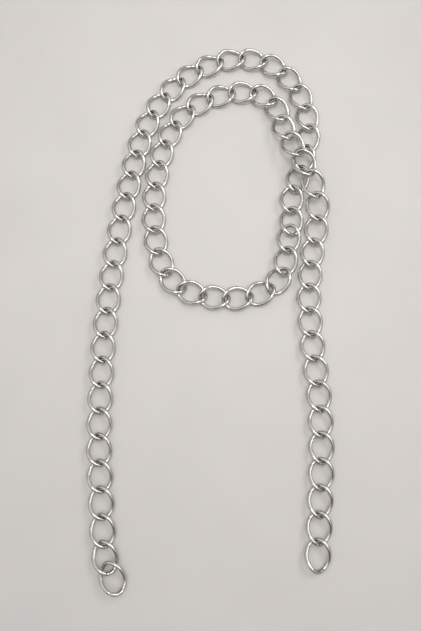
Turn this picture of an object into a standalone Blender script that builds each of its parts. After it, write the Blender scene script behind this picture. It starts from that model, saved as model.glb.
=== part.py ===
"""A length of curb chain, laid once over itself on a level floor. All lengths are in metres."""

import bpy
import numpy as np

MM = 0.001

# One link: round wire bent to an oval, then twisted about its length so that the chain lies flat.
WIRE_DIAMETER = 0.0024
LINK_LENGTH = 0.0216
LINK_WIDTH = 0.0165
LINK_TWIST = np.radians(33)
# How far a link lies turned, seen from above, because its bows bear beside their middles.
LINK_SKEW = np.radians(3)
# The middle of a link that lies flat is this high over the floor.
REST_HEIGHT = 0.0033

# Each link is a ring of straight pieces with a six-sided section of the same area as the round wire.
RING_POINTS = 16
# How much closer the points lie in the end bends than along the sides.
BEND_SHARE = 0.2
SECTION_SIDES = 6
SECTION_RADIUS = 0.00132
SECTION_TURN = np.radians(43)

LINKS = 75
# Links of the two straight ends that are stored two to a node, bearing on each other.
PAIR_STARTS = (2, 4, 6, 8, 10, 12, 14, 16, 62, 64, 66, 68, 70, 72, 74)
# How far the flats of the two sections reach into each other there.
PAIR_BITE = 0.00026

# The way the chain lies: link number, then x, y and the lift of its middle, in millimetres.
ROUTE = (
    (1, -55, -70.6, 0.2),
    (2, -60.1, -58.8, 0),
    (4, -64.3, -27, 0),
    (6, -67.5, 5.2, 0),
    (8, -68.7, 37.5, 0),
    (10, -68.7, 70, 0),
    (12, -67.1, 101.9, 0),
    (14, -64.4, 133.7, 0),
    (16, -60.1, 165.8, 0),
    (18, -54.9, 197.1, 0),
    (19, -51.7, 212.3, 0),
    (20, -46.8, 227.5, 0),
    (21, -39.7, 241.8, 0),
    (22, -30.3, 254.6, 0),
    (23, -18.7, 265.3, 0),
    (24, -5, 273.3, 0),
    (25, 10, 278.2, 0),
    (26, 25.6, 278.4, 0),
    (27, 40.4, 273.6, 0),
    (28, 51.8, 263.3, 0),
    (29, 59.6, 249.9, 0),
    (30, 63.9, 234.8, 0),
    (31, 64.5, 219.7, 0),
    (32, 61.2, 204.4, 0),
    (33, 57.1, 189.1, 0.1),
    (34, 52.9, 174.1, 0.2),
    (35, 52.7, 158.7, 0),
    (36, 50.9, 146.2, 0.4),
    (37, 48.9, 130.7, 0),
    (38, 44, 117.3, 0),
    (39, 32.4, 108.5, 0),
    (40, 17.5, 104.7, 0),
    (41, 2.3, 104.8, 0),
    (42, -12.6, 107.5, 0),
    (43, -25.3, 115, 0),
    (44, -33.4, 127.6, 0),
    (45, -37.8, 142.6, 0),
    (46, -39.8, 158.1, 0),
    (47, -40.1, 173.8, 0),
    (48, -38.8, 189.6, 0),
    (49, -36.1, 205.2, 0),
    (50, -30.9, 220.2, 0),
    (51, -22.8, 233.6, 0),
    (52, -10.9, 243.8, 0),
    (53, 3.5, 250, 0),
    (54, 18.9, 252.9, 0.1),
    (55, 33.5, 249.9, 0.2),
    (56, 42.9, 239.6, 0.8),
    (57, 47.2, 225.2, 2.6),
    (58, 53.1, 211.6, 5.4),
    (59, 60.9, 197.7, 6.7),
    (60, 66.9, 183.5, 5.2),
    (61, 70.2, 168.4, 2.7),
    (62, 69.3, 152.6, 0.8),
    (63, 66.7, 136.8, 0.2),
    (65, 64.3, 105.6, 0),
    (67, 66.6, 73.9, 0),
    (69, 70.4, 41.85, 0),
    (71, 71.7, 9.6, 0),
    (73, 70.6, -22.7, 0),
    (75, 68.9, -54.7, 0),
)

COLLECTION_NAME = "curb_chain"
STEEL_COLOR = (0.62, 0.61, 0.59, 1.0)


def clear_scene():
    for obj in list(bpy.data.objects):
        bpy.data.objects.remove(obj, do_unlink=True)


def link_ring(count):
    """Centreline of one link about its own middle, with x along the chain."""
    half_length = (LINK_LENGTH - WIRE_DIAMETER) / 2
    half_width = (LINK_WIDTH - WIRE_DIAMETER) / 2
    step = (np.arange(count) + 0.5) * 2 * np.pi / count
    turn = step - BEND_SHARE * np.sin(2 * step)
    across = half_width * np.sin(turn)
    twist = -LINK_TWIST * np.cos(turn)
    ring = np.stack([half_length * np.cos(turn), across * np.cos(twist), across * np.sin(twist)], axis=1)
    cosine, sine = np.cos(LINK_SKEW), np.sin(LINK_SKEW)
    return ring @ np.array([[cosine, sine, 0], [-sine, cosine, 0], [0, 0, 1]])


def route_slopes(marks, points):
    """Slope of the route at each of its points, for a smooth curve through them."""
    slopes = np.empty_like(points)
    slopes[0] = (points[1] - points[0]) / (marks[1] - marks[0])
    slopes[-1] = (points[-1] - points[-2]) / (marks[-1] - marks[-2])
    spans = (marks[2:] - marks[:-2])[:, None]
    slopes[1:-1] = (points[2:] - points[:-2]) / spans
    return slopes


def route_at(numbers):
    """Where the route is at the given link numbers, which need not be whole."""
    table = np.array(ROUTE, dtype=float)
    marks, points = table[:, 0], table[:, 1:] * MM
    slopes = route_slopes(marks, points)
    piece = np.clip(np.searchsorted(marks, numbers, side="right") - 1, 0, len(marks) - 2)
    span = (marks[piece + 1] - marks[piece])[:, None]
    share = (numbers - marks[piece])[:, None] / span
    rest = 1 - share
    start = (points[piece] * (1 + 2 * share) + slopes[piece] * span * share) * rest**2
    end = (points[piece + 1] * (1 + 2 * rest) - slopes[piece + 1] * span * rest) * share**2
    return start + end


def link_centres():
    """Middles of all links, with the two links of a pair pulled apart until they bear on each other."""
    centres = route_at(np.arange(1, LINKS + 1, dtype=float))
    flat = SECTION_RADIUS * np.cos(np.pi / SECTION_SIDES)
    bearing = LINK_LENGTH - WIRE_DIAMETER - 2 * flat + PAIR_BITE
    for start in PAIR_STARTS:
        first, second = centres[start - 1], centres[start]
        middle = (first + second) / 2
        along = (second - first) / np.linalg.norm(second - first)
        centres[start - 1] = middle - along * bearing / 2
        centres[start] = middle + along * bearing / 2
    return centres


def link_axes(centres):
    """For each link the direction of the chain, the level direction across it and the one over it."""
    ahead = np.vstack([centres[1:], 2 * centres[-1] - centres[-2]])
    behind = np.vstack([2 * centres[0] - centres[1], centres[:-1]])
    along = ahead - behind
    along /= np.linalg.norm(along, axis=1)[:, None]
    across = np.stack([-along[:, 1], along[:, 0], np.zeros(len(along))], axis=1)
    across /= np.linalg.norm(across, axis=1)[:, None]
    return along, across, np.cross(along, across)


def placed_rings(count):
    """Centrelines of all links where they lie, before the part is centred."""
    centres = link_centres()
    centres[:, 2] += REST_HEIGHT
    ring = link_ring(count)
    axes = np.stack(link_axes(centres), axis=1)
    return centres[:, None, :] + ring @ axes


def centring_shift(rings):
    """Moves the middle of the part's outline to the origin."""
    flat = rings.reshape(-1, 3)
    middle = (flat.min(axis=0) + flat.max(axis=0)) / 2
    return np.array([-middle[0], -middle[1], 0.0])


def steel_material(name):
    material = bpy.data.materials.new(name)
    material.use_nodes = True
    shader = material.node_tree.nodes["Principled BSDF"]
    shader.inputs["Base Color"].default_value = STEEL_COLOR
    shader.inputs["Metallic"].default_value = 1.0
    shader.inputs["Roughness"].default_value = 0.25
    return material


def wire_ring(name, points):
    """A closed wire along the points, as a curve object."""
    curve = bpy.data.curves.new(name, "CURVE")
    curve.dimensions = "3D"
    curve.twist_mode = "Z_UP"
    curve.bevel_depth = SECTION_RADIUS
    curve.bevel_resolution = (SECTION_SIDES - 4) // 2
    spline = curve.splines.new("POLY")
    spline.points.add(len(points) - 1)
    for spot, point in zip(spline.points, points):
        spot.co = (*point, 1.0)
        spot.tilt = SECTION_TURN
    spline.use_cyclic_u = True
    return bpy.data.objects.new(name, curve)


def mesh_object(name, points, collection):
    """The same wire as a mesh object."""
    source = wire_ring(name + "_line", points)
    collection.objects.link(source)
    bpy.context.view_layer.update()
    depsgraph = bpy.context.evaluated_depsgraph_get()
    mesh = bpy.data.meshes.new_from_object(source.evaluated_get(depsgraph))
    bpy.data.objects.remove(source, do_unlink=True)
    mesh.name = name
    mesh.materials.clear()
    obj = bpy.data.objects.new(name, mesh)
    collection.objects.link(obj)
    merge_doubles(obj)
    return obj


def merge_doubles(obj):
    bpy.ops.object.select_all(action="DESELECT")
    bpy.context.view_layer.objects.active = obj
    obj.select_set(True)
    bpy.ops.object.mode_set(mode="EDIT")
    bpy.ops.mesh.select_all(action="SELECT")
    bpy.ops.mesh.remove_doubles(threshold=1e-7)
    bpy.ops.mesh.normals_make_consistent(inside=False)
    bpy.ops.object.mode_set(mode="OBJECT")


def fuse(target, other):
    """Makes one body of two links that bear on each other."""
    union = target.modifiers.new("union", "BOOLEAN")
    union.operation = "UNION"
    union.solver = "EXACT"
    union.object = other
    bpy.context.view_layer.objects.active = target
    bpy.ops.object.modifier_apply(modifier=union.name)
    bpy.data.objects.remove(other, do_unlink=True)


def finish(obj):
    obj.data.materials.append(steel_material("mat_" + obj.name))
    for face in obj.data.polygons:
        face.use_smooth = True


def build():
    clear_scene()
    collection = bpy.data.collections.new(COLLECTION_NAME)
    bpy.context.scene.collection.children.link(collection)
    rings = placed_rings(RING_POINTS)
    rings = rings + centring_shift(placed_rings(96))
    number = 1
    while number <= LINKS:
        if number in PAIR_STARTS:
            obj = mesh_object(f"links_{number:02d}_{number + 1:02d}", rings[number - 1], collection)
            fuse(obj, mesh_object("second", rings[number], collection))
            number += 2
        else:
            obj = mesh_object(f"link_{number:02d}", rings[number - 1], collection)
            number += 1
        finish(obj)


build()
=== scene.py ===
"""Looks of the laid curb chain: plated wire links, a pale floor, soft light and the camera. All in metres."""

import math

import bpy
import numpy as np
from mathutils import Matrix, Vector


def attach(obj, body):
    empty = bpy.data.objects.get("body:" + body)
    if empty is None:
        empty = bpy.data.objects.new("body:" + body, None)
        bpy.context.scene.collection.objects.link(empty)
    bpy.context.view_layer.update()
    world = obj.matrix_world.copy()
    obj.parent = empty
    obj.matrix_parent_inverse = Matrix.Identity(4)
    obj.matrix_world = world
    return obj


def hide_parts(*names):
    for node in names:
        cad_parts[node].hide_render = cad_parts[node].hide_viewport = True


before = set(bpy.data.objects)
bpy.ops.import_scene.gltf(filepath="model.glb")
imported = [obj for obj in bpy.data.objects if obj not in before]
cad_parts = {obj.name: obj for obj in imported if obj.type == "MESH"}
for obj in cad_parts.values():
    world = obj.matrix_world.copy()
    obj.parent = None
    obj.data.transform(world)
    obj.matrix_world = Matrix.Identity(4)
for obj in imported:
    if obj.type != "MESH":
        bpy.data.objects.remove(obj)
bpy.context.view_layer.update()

MM = 0.001

# One link: round wire bent to an oval, then twisted about its length so that the chain lies flat.
WIRE_DIAMETER = 0.0024
LINK_LENGTH = 0.0216
LINK_WIDTH = 0.0165
LINK_TWIST = math.radians(33)
# How far a link lies turned, seen from above, because its bows bear beside their middles.
LINK_SKEW = math.radians(3)
# The middle of a link that lies flat is this high over the floor.
REST_HEIGHT = 0.0033
# About how long the bent wire is, along its middle.
WIRE_LENGTH = math.pi * (LINK_LENGTH + LINK_WIDTH - 2 * WIRE_DIAMETER) / 2
# Each link's wire starts this much further along the drawn wire, so that no two show the same stretch of it.
WIRE_STRETCH = LINK_LENGTH * 3

# The wire is a fine tube whose two cut ends meet in one of the bows.
WIRE_STEPS = 112
WIRE_SIDES = 18
SIDE_ANGLES = np.arange(WIRE_SIDES) * 2 * math.pi / WIRE_SIDES
# Points round each link from which the chain's outline is measured.
OUTLINE_POINTS = 97
JOINT_GAP = 0.00014
# Joints that the photograph shows: link number, place on the ring in radians, and width of the gap.
SEEN_JOINTS = ((1, 2.44, 0.0006), (2, 2.85, 0.0004), (75, 0.53, 0.0006))
# The places of the others are drawn by chance: their spread about the middle of a bow, in radians, and the
# share of them that lies in the bow pointing forward.
JOINT_SCATTER = 0.16
FORWARD_JOINTS = 0.7
JOINT_SEED = 7
# How far the cut ends are rounded, and how much thinner the wire is at the very end.
END_ROUNDING = 0.00022
END_SHRINK = 0.12
# The bows are pressed a little flatter than the sides when the wire is bent.
BOW_FLATTENING = 0.035

# The way the chain lies: link number, then x, y and the lift of its middle, in millimetres.
ROUTE = (
    (1, -55, -70.6, 0.2),
    (2, -60.1, -58.8, 0),
    (4, -64.3, -27, 0),
    (6, -67.5, 5.2, 0),
    (8, -68.7, 37.5, 0),
    (10, -68.7, 70, 0),
    (12, -67.1, 101.9, 0),
    (14, -64.4, 133.7, 0),
    (16, -60.1, 165.8, 0),
    (18, -54.9, 197.1, 0),
    (19, -51.7, 212.3, 0),
    (20, -46.8, 227.5, 0),
    (21, -39.7, 241.8, 0),
    (22, -30.3, 254.6, 0),
    (23, -18.7, 265.3, 0),
    (24, -5, 273.3, 0),
    (25, 10, 278.2, 0),
    (26, 25.6, 278.4, 0),
    (27, 40.4, 273.6, 0),
    (28, 51.8, 263.3, 0),
    (29, 59.6, 249.9, 0),
    (30, 63.9, 234.8, 0),
    (31, 64.5, 219.7, 0),
    (32, 61.2, 204.4, 0),
    (33, 57.1, 189.1, 0.1),
    (34, 52.9, 174.1, 0.2),
    (35, 52.7, 158.7, 0),
    (36, 50.9, 146.2, 0.4),
    (37, 48.9, 130.7, 0),
    (38, 44, 117.3, 0),
    (39, 32.4, 108.5, 0),
    (40, 17.5, 104.7, 0),
    (41, 2.3, 104.8, 0),
    (42, -12.6, 107.5, 0),
    (43, -25.3, 115, 0),
    (44, -33.4, 127.6, 0),
    (45, -37.8, 142.6, 0),
    (46, -39.8, 158.1, 0),
    (47, -40.1, 173.8, 0),
    (48, -38.8, 189.6, 0),
    (49, -36.1, 205.2, 0),
    (50, -30.9, 220.2, 0),
    (51, -22.8, 233.6, 0),
    (52, -10.9, 243.8, 0),
    (53, 3.5, 250, 0),
    (54, 18.9, 252.9, 0.1),
    (55, 33.5, 249.9, 0.2),
    (56, 42.9, 239.6, 0.8),
    (57, 47.2, 225.2, 2.6),
    (58, 53.1, 211.6, 5.4),
    (59, 60.9, 197.7, 6.7),
    (60, 66.9, 183.5, 5.2),
    (61, 70.2, 168.4, 2.7),
    (62, 69.3, 152.6, 0.8),
    (63, 66.7, 136.8, 0.2),
    (65, 64.3, 105.6, 0),
    (67, 66.6, 73.9, 0),
    (69, 70.4, 41.85, 0),
    (71, 71.7, 9.6, 0),
    (73, 70.6, -22.7, 0),
    (75, 68.9, -54.7, 0),
)
LINKS = 75
# Links of the two straight ends whose solids share a node.
PAIR_STARTS = (2, 4, 6, 8, 10, 12, 14, 16, 62, 64, 66, 68, 70, 72, 74)

# Tones of the plating: its cloudy surface, small dull spots, painted shade on the inner sides of the bows
# where the links bear on each other, and the tint
#  that the wire takes at its edges, where it is seen almost from the side.
CLOUDY_TONES = ((0.64, 0.625, 0.60, 1), (0.73, 0.72, 0.705, 1))
SPOT_TONE = (0.45, 0.43, 0.40, 1)
PAINTED_JOINT_SHADE = (0.26, 0.24, 0.22, 1)
EDGE_TINT = (0.45, 0.44, 0.42, 1)
# Fineness of the drawing marks, the clouds and the spots, twice across the wire and once along it.
MARK_FINENESS = (5200, 5200, 110)
CLOUD_FINENESS = (420, 420, 260)
SPOT_FINENESS = (1500, 1500, 900)
# Roughness of the clouds, and what the marks and the rubbing add to it, each from its least to its most.
CLOUD_ROUGHNESS = (0.09, 0.18)
MARK_ROUGHNESS = (-0.02, 0.04)
RUBBED_ROUGHNESS = (0, 0.14)
# Strength and height of the marks and of the soft dents.
MARK_RELIEF = (0.35, 0.00002)
DENT_RELIEF = (0.3, 0.00006)

FLOOR_SIZE = 6.0
FLOOR_TONES = ((0.675, 0.655, 0.642, 1), (0.705, 0.684, 0.67, 1))
FLOOR_FINENESS = (18, 18, 18)

# The photograph was taken from this height over the middles of the links, above the route's zero point.
CAMERA_HEIGHT = 0.436
CAMERA_TILT = math.radians(12)
CAMERA_ROLL = math.radians(1.43)
IMAGE_HEIGHT = 631
FOCAL_LENGTH_PIXELS = 684
SENSOR_WIDTH = 36

# The room as the wire mirrors it: how bright it is at the horizon and overhead, between which heights of a
# direction it brightens, and rounded patches that are brighter or dimmer than the rest, each with its
# azimuth, elevation and radius in degrees and its strength.
HORIZON_LIGHT = 0.10
ROOM_LIGHT = 0.53
BRIGHTENING = (0.05, 0.36)
ROOM_PATCHES = (
    (175, 50, 45, 0.27),
    (96, 55, 30, 0.3),
    (281, 70, 35, 0.98),
    (266, 33, 44, -0.75),
)
ROOM_COLOR = (1.0, 0.98, 0.962)
# What the camera sees of the room past the floor's edge.
SEEN_ROOM = (0.50, 0.485, 0.47, 1)

# Soft lights: name, place, target, width and height, power, spread in degrees, and color.
SOFT_LIGHTS = (
    ("pool", (0.0, 0.1, 1.1), (0, 0.1, 0), (0.35, 0.35), 0.17, 40, (1.0, 0.99, 0.98)),
    ("window", (0.8, 0.4, 0.95), (0, 0.15, 0), (1.1, 0.45), 3.8, 180, (1.0, 0.985, 0.97)),
)


def link_ring(turns):
    """Centreline of one link about its own middle, with x along the chain, at the given angles."""
    half_length = (LINK_LENGTH - WIRE_DIAMETER) / 2
    half_width = (LINK_WIDTH - WIRE_DIAMETER) / 2
    across = half_width * np.sin(turns)
    twist = -LINK_TWIST * np.cos(turns)
    ring = np.stack([half_length * np.cos(turns), across * np.cos(twist), across * np.sin(twist)], axis=1)
    cosine, sine = math.cos(LINK_SKEW), math.sin(LINK_SKEW)
    return ring @ np.array([[cosine, sine, 0], [-sine, cosine, 0], [0, 0, 1]])


def route_slopes(marks, points):
    """Slope of the route at each of its points, for a smooth curve through them."""
    slopes = np.empty_like(points)
    slopes[0] = (points[1] - points[0]) / (marks[1] - marks[0])
    slopes[-1] = (points[-1] - points[-2]) / (marks[-1] - marks[-2])
    spans = (marks[2:] - marks[:-2])[:, None]
    slopes[1:-1] = (points[2:] - points[:-2]) / spans
    return slopes


def route_at(numbers):
    """Where the route is at the given link numbers."""
    table = np.array(ROUTE, dtype=float)
    marks, points = table[:, 0], table[:, 1:] * MM
    slopes = route_slopes(marks, points)
    piece = np.clip(np.searchsorted(marks, numbers, side="right") - 1, 0, len(marks) - 2)
    span = (marks[piece + 1] - marks[piece])[:, None]
    share = (numbers - marks[piece])[:, None] / span
    rest = 1 - share
    start = (points[piece] * (1 + 2 * share) + slopes[piece] * span * share) * rest**2
    end = (points[piece + 1] * (1 + 2 * rest) - slopes[piece + 1] * span * rest) * share**2
    return start + end


def link_axes(centres):
    """For each link the direction of the chain, the level direction across it and the one over it."""
    ahead = np.vstack([centres[1:], 2 * centres[-1] - centres[-2]])
    behind = np.vstack([2 * centres[0] - centres[1], centres[:-1]])
    along = ahead - behind
    along /= np.linalg.norm(along, axis=1)[:, None]
    across = np.stack([-along[:, 1], along[:, 0], np.zeros(len(along))], axis=1)
    across /= np.linalg.norm(across, axis=1)[:, None]
    return np.stack([along, across, np.cross(along, across)], axis=1)


def outline_shift(centres, axes):
    """How far the chain has to move for the middle of its outline to lie at the origin."""
    turns = np.linspace(0, 2 * math.pi, OUTLINE_POINTS)
    flat = (centres[:, None, :] + link_ring(turns) @ axes).reshape(-1, 3)
    middle = (flat.min(axis=0) + flat.max(axis=0)) / 2
    return np.array([-middle[0], -middle[1], 0.0])


def joint_places():
    """Where each link's cut ends meet, and how wide the gap between them is."""
    draw = np.random.default_rng(JOINT_SEED)
    bows = np.where(draw.random(LINKS) < FORWARD_JOINTS, 0.0, math.pi)
    turns = bows + draw.normal(0, JOINT_SCATTER, LINKS)
    joints = [(turn, JOINT_GAP) for turn in turns]
    for number, turn, gap in SEEN_JOINTS:
        joints[number - 1] = (turn, gap)
    return joints


def tube_turns(joint_turn, joint_gap):
    """Angles of the tube's steps, from one cut end round to the other, with two close steps at each end."""
    half_gap = joint_gap / WIRE_LENGTH * math.pi
    rounding = END_ROUNDING / WIRE_LENGTH * 2 * math.pi
    turns = joint_turn + np.linspace(half_gap, 2 * math.pi - half_gap, WIRE_STEPS)
    turns[1], turns[-2] = turns[0] + rounding / 3, turns[-1] - rounding / 3
    turns[2], turns[-3] = turns[0] + rounding, turns[-1] - rounding
    return turns


def section_axes(line, turns):
    """At each step of the wire the direction away from the link's middle and the one beside the wire."""
    tangent = np.gradient(line, turns, axis=0)
    tangent /= np.linalg.norm(tangent, axis=1)[:, None]
    outward = line - np.sum(line * tangent, axis=1)[:, None] * tangent
    outward /= np.linalg.norm(outward, axis=1)[:, None]
    return outward, np.cross(tangent, outward)


def section_points(line, turns):
    """Points of the wire's surface round each step, rounded at the cut ends and pressed in the bows."""
    outward, beside = section_axes(line, turns)
    radius = np.full(WIRE_STEPS, WIRE_DIAMETER / 2)
    radius[[0, -1]] *= 1 - END_SHRINK
    radius[[1, -2]] *= 1 - END_SHRINK / 4
    press = BOW_FLATTENING * np.cos(turns) ** 4
    reach_out = (radius * (1 - press))[:, None] * np.cos(SIDE_ANGLES)
    reach_beside = (radius * (1 + press / 3))[:, None] * np.sin(SIDE_ANGLES)
    return line[:, None] + reach_out[..., None] * outward[:, None] + reach_beside[..., None] * beside[:, None]


def straight_places(line):
    """Each point's place on the same wire before it was bent, with z along the wire."""
    steps = np.linalg.norm(np.diff(line, axis=0), axis=1)
    place = np.empty((WIRE_STEPS, WIRE_SIDES, 3))
    place[..., 0] = np.cos(SIDE_ANGLES) * WIRE_DIAMETER / 2
    place[..., 1] = np.sin(SIDE_ANGLES) * WIRE_DIAMETER / 2
    place[..., 2] = np.concatenate([[0], np.cumsum(steps)])[:, None]
    return place


def joint_shade_and_rub(turns):
    """How much painted shade each point gets, and how much rougher it is: most on the inner side of each bow,
    where the next link bears and shade falls between the links.
    """
    inner_side = np.clip(-np.cos(SIDE_ANGLES), 0, 1) ** 1.5
    return np.abs(np.cos(turns))[:, None] ** 6 * inner_side


def wire_tube(centre, axes, joint):
    """Points of one link's wire where it lies, their places on the straight wire, and how much painted joint
    shade and added roughness they get.
    """
    turns = tube_turns(*joint)
    line = link_ring(turns)
    points = centre + section_points(line, turns).reshape(-1, 3) @ axes
    return points, straight_places(line).reshape(-1, 3), joint_shade_and_rub(turns).reshape(-1)


def tube_faces(start):
    """Faces of one tube whose vertices begin at the given number, closed by a flat face at each end."""
    faces = []
    for step in range(WIRE_STEPS - 1):
        row = start + step * WIRE_SIDES
        for side in range(WIRE_SIDES):
            other = (side + 1) % WIRE_SIDES
            faces.append((row + side, row + other, row + WIRE_SIDES + other, row + WIRE_SIDES + side))
    last = start + (WIRE_STEPS - 1) * WIRE_SIDES
    faces.append(tuple(range(start + WIRE_SIDES - 1, start - 1, -1)))
    faces.append(tuple(range(last, last + WIRE_SIDES)))
    return faces


def wire_mesh(name, tubes, numbers):
    """One mesh of the given tubes, each of them another stretch of the same drawn wire."""
    points = np.vstack([tube[0] for tube in tubes])
    starts = [np.array([0, 0, number * WIRE_STRETCH]) for number in numbers]
    places = np.vstack([tube[1] + start for tube, start in zip(tubes, starts)])
    shade_and_rub_values = np.concatenate([tube[2] for tube in tubes])
    faces = []
    for index in range(len(tubes)):
        faces += tube_faces(index * WIRE_STEPS * WIRE_SIDES)
    mesh = bpy.data.meshes.new(name)
    mesh.from_pydata(points.tolist(), [], faces)
    mesh.shade_smooth()
    for face in mesh.polygons:
        if len(face.vertices) > 4:
            face.use_smooth = False
    spot = mesh.attributes.new("wire_place", "FLOAT_VECTOR", "POINT")
    spot.data.foreach_set("vector", places.ravel())
    # Mask of painted shade on the inner sides of the bows, between the links; it also makes them rougher.
    shade_and_rub_layer = mesh.attributes.new("painted_shade_and_rub", "FLOAT", "POINT")
    shade_and_rub_layer.data.foreach_set("value", shade_and_rub_values)
    return mesh


def wire_piece(node, numbers, tubes, material):
    """The fine mesh that stands for one CAD node, with one or two links in it."""
    mesh = wire_mesh("wire_" + node, tubes, numbers)
    mesh.materials.append(material)
    piece = bpy.data.objects.new("wire_" + node, mesh)
    bpy.context.scene.collection.objects.link(piece)
    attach(piece, "root")
    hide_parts(node)


def make_chain(material):
    """Makes all links and returns how far the route is shifted to centre the chain."""
    centres = route_at(np.arange(1, LINKS + 1, dtype=float))
    centres[:, 2] += REST_HEIGHT
    axes = link_axes(centres)
    shift = outline_shift(centres, axes)
    centres = centres + shift
    tubes = [wire_tube(*parts) for parts in zip(centres, axes, joint_places())]
    number = 1
    while number <= LINKS:
        if number in PAIR_STARTS:
            node, numbers = f"links_{number:02d}_{number + 1:02d}", (number, number + 1)
        else:
            node, numbers = f"link_{number:02d}", (number,)
        wire_piece(node, numbers, [tubes[count - 1] for count in numbers], material)
        number += len(numbers)
    return shift


def add_node(tree, kind, **settings):
    node = tree.nodes.new(kind)
    for name, value in settings.items():
        setattr(node, name, value)
    return node


def value_range(tree, source, low, high, to_low, to_high):
    """Stretches a value from one range to another."""
    node = add_node(tree, "ShaderNodeMapRange")
    node.inputs["From Min"].default_value = low
    node.inputs["From Max"].default_value = high
    node.inputs["To Min"].default_value = to_low
    node.inputs["To Max"].default_value = to_high
    tree.links.new(source, node.inputs["Value"])
    return node.outputs["Result"]


def noise(tree, place, scale, detail, roughness=0.5):
    """Noise over a place that is first scaled along each axis."""
    mapping = add_node(tree, "ShaderNodeMapping")
    mapping.inputs["Scale"].default_value = scale
    tree.links.new(place, mapping.inputs["Vector"])
    node = add_node(tree, "ShaderNodeTexNoise")
    node.inputs["Scale"].default_value = 1.0
    node.inputs["Detail"].default_value = detail
    node.inputs["Roughness"].default_value = roughness
    tree.links.new(mapping.outputs["Vector"], node.inputs["Vector"])
    return node.outputs["Fac"]


def mix_color(tree, amount, first, second):
    """Goes from the first color to the second; each is a color or the output of another node."""
    node = add_node(tree, "ShaderNodeMix", data_type="RGBA")
    for socket, value in ((node.inputs[6], first), (node.inputs[7], second)):
        if isinstance(value, tuple):
            socket.default_value = value
        else:
            tree.links.new(value, socket)
    tree.links.new(amount, node.inputs["Factor"])
    return node.outputs[2]


def join(tree, operation, first, second):
    """Joins two values by a sum or the like; each is a number or the output of another node."""
    node = add_node(tree, "ShaderNodeMath", operation=operation)
    for socket, value in zip(node.inputs, (first, second)):
        if isinstance(value, (int, float)):
            socket.default_value = value
        else:
            tree.links.new(value, socket)
    return node.outputs[0]


def relief(tree, source, strength, height):
    """Turns a value into relief of the given height, which may lie on top of another one."""
    node = add_node(tree, "ShaderNodeBump")
    node.inputs["Strength"].default_value = strength
    node.inputs["Distance"].default_value = height
    tree.links.new(source, node.inputs["Height"])
    return node


def plated_steel():
    """Bright nickel-coloured plating over drawn wire: fine marks along the wire, cloudy tone, painted shade
    on the inner sides of the bows.
    """
    material = bpy.data.materials.new("plated_steel")
    material.use_nodes = True
    tree = material.node_tree
    shader = tree.nodes["Principled BSDF"]
    shader.inputs["Metallic"].default_value = 1.0
    shader.inputs["Specular Tint"].default_value = EDGE_TINT
    place = add_node(tree, "ShaderNodeAttribute", attribute_name="wire_place").outputs["Vector"]
    painted_shade_and_rub = add_node(tree, "ShaderNodeAttribute", attribute_name="painted_shade_and_rub").outputs["Fac"]

    marks = noise(tree, place, MARK_FINENESS, 3)
    clouds = noise(tree, place, CLOUD_FINENESS, 4, 0.6)
    spots = noise(tree, place, SPOT_FINENESS, 2, 0.4)

    tone = mix_color(tree, value_range(tree, clouds, 0.35, 0.65, 0, 1), *CLOUDY_TONES)
    tone = mix_color(tree, value_range(tree, spots, 0.62, 0.75, 0, 0.5), tone, SPOT_TONE)
    # Painted shade: the inner sides of the bows, where the links bear on each other, are darkened in the base
    # colour.
    tone = mix_color(tree, value_range(tree, painted_shade_and_rub, 0.08, 0.6, 0, 0.85), tone, PAINTED_JOINT_SHADE)
    tree.links.new(tone, shader.inputs["Base Color"])

    rough = value_range(tree, clouds, 0.3, 0.7, *CLOUD_ROUGHNESS)
    rough = join(tree, "ADD", rough, value_range(tree, marks, 0.35, 0.65, *MARK_ROUGHNESS))
    rough = join(tree, "ADD", rough, value_range(tree, painted_shade_and_rub, 0.2, 1, *RUBBED_ROUGHNESS))
    tree.links.new(rough, shader.inputs["Roughness"])

    marked = relief(tree, marks, *MARK_RELIEF)
    dented = relief(tree, clouds, *DENT_RELIEF)
    tree.links.new(marked.outputs["Normal"], dented.inputs["Normal"])
    tree.links.new(dented.outputs["Normal"], shader.inputs["Normal"])
    return material


def floor_material():
    """Matt, pale, slightly warm paper."""
    material = bpy.data.materials.new("pale_floor")
    material.use_nodes = True
    tree = material.node_tree
    shader = tree.nodes["Principled BSDF"]
    shader.inputs["Roughness"].default_value = 0.75
    shader.inputs["Specular IOR Level"].default_value = 0.3
    place = add_node(tree, "ShaderNodeTexCoord").outputs["Object"]
    clouds = noise(tree, place, FLOOR_FINENESS, 3)
    tone = mix_color(tree, value_range(tree, clouds, 0.3, 0.7, 0, 1), *FLOOR_TONES)
    tree.links.new(tone, shader.inputs["Base Color"])
    return material


def make_floor():
    half = FLOOR_SIZE / 2
    mesh = bpy.data.meshes.new("floor")
    corners = [(-half, -half, 0), (half, -half, 0), (half, half, 0), (-half, half, 0)]
    mesh.from_pydata(corners, [], [(0, 1, 2, 3)])
    mesh.materials.append(floor_material())
    floor = bpy.data.objects.new("floor", mesh)
    bpy.context.scene.collection.objects.link(floor)


def patch(tree, direction, azimuth, elevation, radius, strength):
    """Strength of a rounded patch of the room that is brighter or dimmer than the rest."""
    turn, rise = math.radians(azimuth), math.radians(elevation)
    level = math.cos(rise)
    aim = add_node(tree, "ShaderNodeVectorMath", operation="DOT_PRODUCT")
    aim.inputs[1].default_value = (math.cos(turn) * level, math.sin(turn) * level, math.sin(rise))
    tree.links.new(direction, aim.inputs[0])
    edge = value_range(tree, aim.outputs["Value"], math.cos(math.radians(radius)), 1, 0, strength)
    edge.node.interpolation_type = "SMOOTHSTEP"
    return edge


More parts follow.
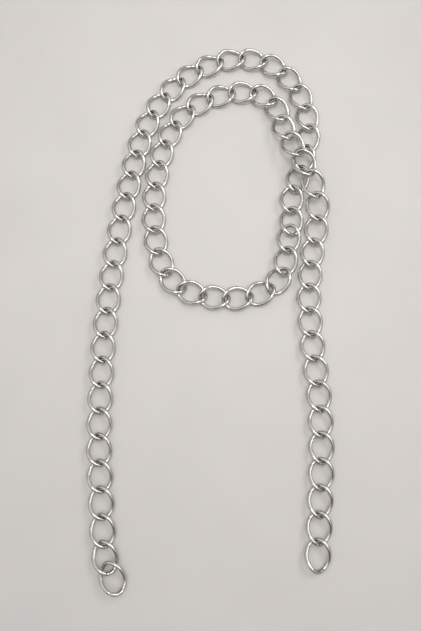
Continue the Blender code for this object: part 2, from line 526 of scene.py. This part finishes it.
def make_world():
    """A pale room that is dark near the horizon and dimmer where the photographer stands."""
    world = bpy.data.worlds.new("room")
    bpy.context.scene.world = world
    world.use_nodes = True
    tree = world.node_tree
    direction = add_node(tree, "ShaderNodeTexCoord").outputs["Generated"]
    parts = add_node(tree, "ShaderNodeSeparateXYZ")
    tree.links.new(direction, parts.inputs["Vector"])
    light = value_range(tree, parts.outputs["Z"], *BRIGHTENING, HORIZON_LIGHT, ROOM_LIGHT)
    for place in ROOM_PATCHES:
        light = join(tree, "ADD", patch(tree, direction, *place), light)
    light = join(tree, "MAXIMUM", light, HORIZON_LIGHT)
    tinted = add_node(tree, "ShaderNodeVectorMath", operation="SCALE")
    tinted.inputs[0].default_value = ROOM_COLOR
    tree.links.new(light, tinted.inputs["Scale"])
    seen = add_node(tree, "ShaderNodeLightPath").outputs["Is Camera Ray"]
    tone = mix_color(tree, seen, tinted.outputs["Vector"], SEEN_ROOM)
    tree.links.new(tone, tree.nodes["Background"].inputs["Color"])


def soft_light(name, place, target, size, power, spread, color):
    """A rectangular soft light at a place, facing a target."""
    lamp = bpy.data.lights.new(name, "AREA")
    lamp.shape = "RECTANGLE"
    lamp.size, lamp.size_y = size
    lamp.energy = power
    lamp.spread = math.radians(spread)
    lamp.color = color
    holder = bpy.data.objects.new(name, lamp)
    bpy.context.scene.collection.objects.link(holder)
    holder.visible_camera = False
    holder.location = place
    holder.rotation_mode = "QUATERNION"
    holder.rotation_quaternion = (Vector(target) - Vector(place)).to_track_quat("-Z", "Y")


def make_camera(shift):
    camera = bpy.data.cameras.new("camera")
    camera.sensor_width = SENSOR_WIDTH
    camera.lens = FOCAL_LENGTH_PIXELS / IMAGE_HEIGHT * SENSOR_WIDTH
    camera.clip_start = 0.01
    camera.clip_end = 20
    holder = bpy.data.objects.new("camera", camera)
    bpy.context.scene.collection.objects.link(holder)
    place = Matrix.Translation((shift[0], shift[1], REST_HEIGHT + CAMERA_HEIGHT))
    turn = Matrix.Rotation(CAMERA_TILT, 4, "X") @ Matrix.Rotation(CAMERA_ROLL, 4, "Z")
    holder.matrix_world = place @ turn
    bpy.context.scene.camera = holder


shift = make_chain(plated_steel())
make_floor()
make_world()
for light in SOFT_LIGHTS:
    soft_light(*light)
make_camera(shift)
bpy.context.scene.view_settings.view_transform = "Standard"
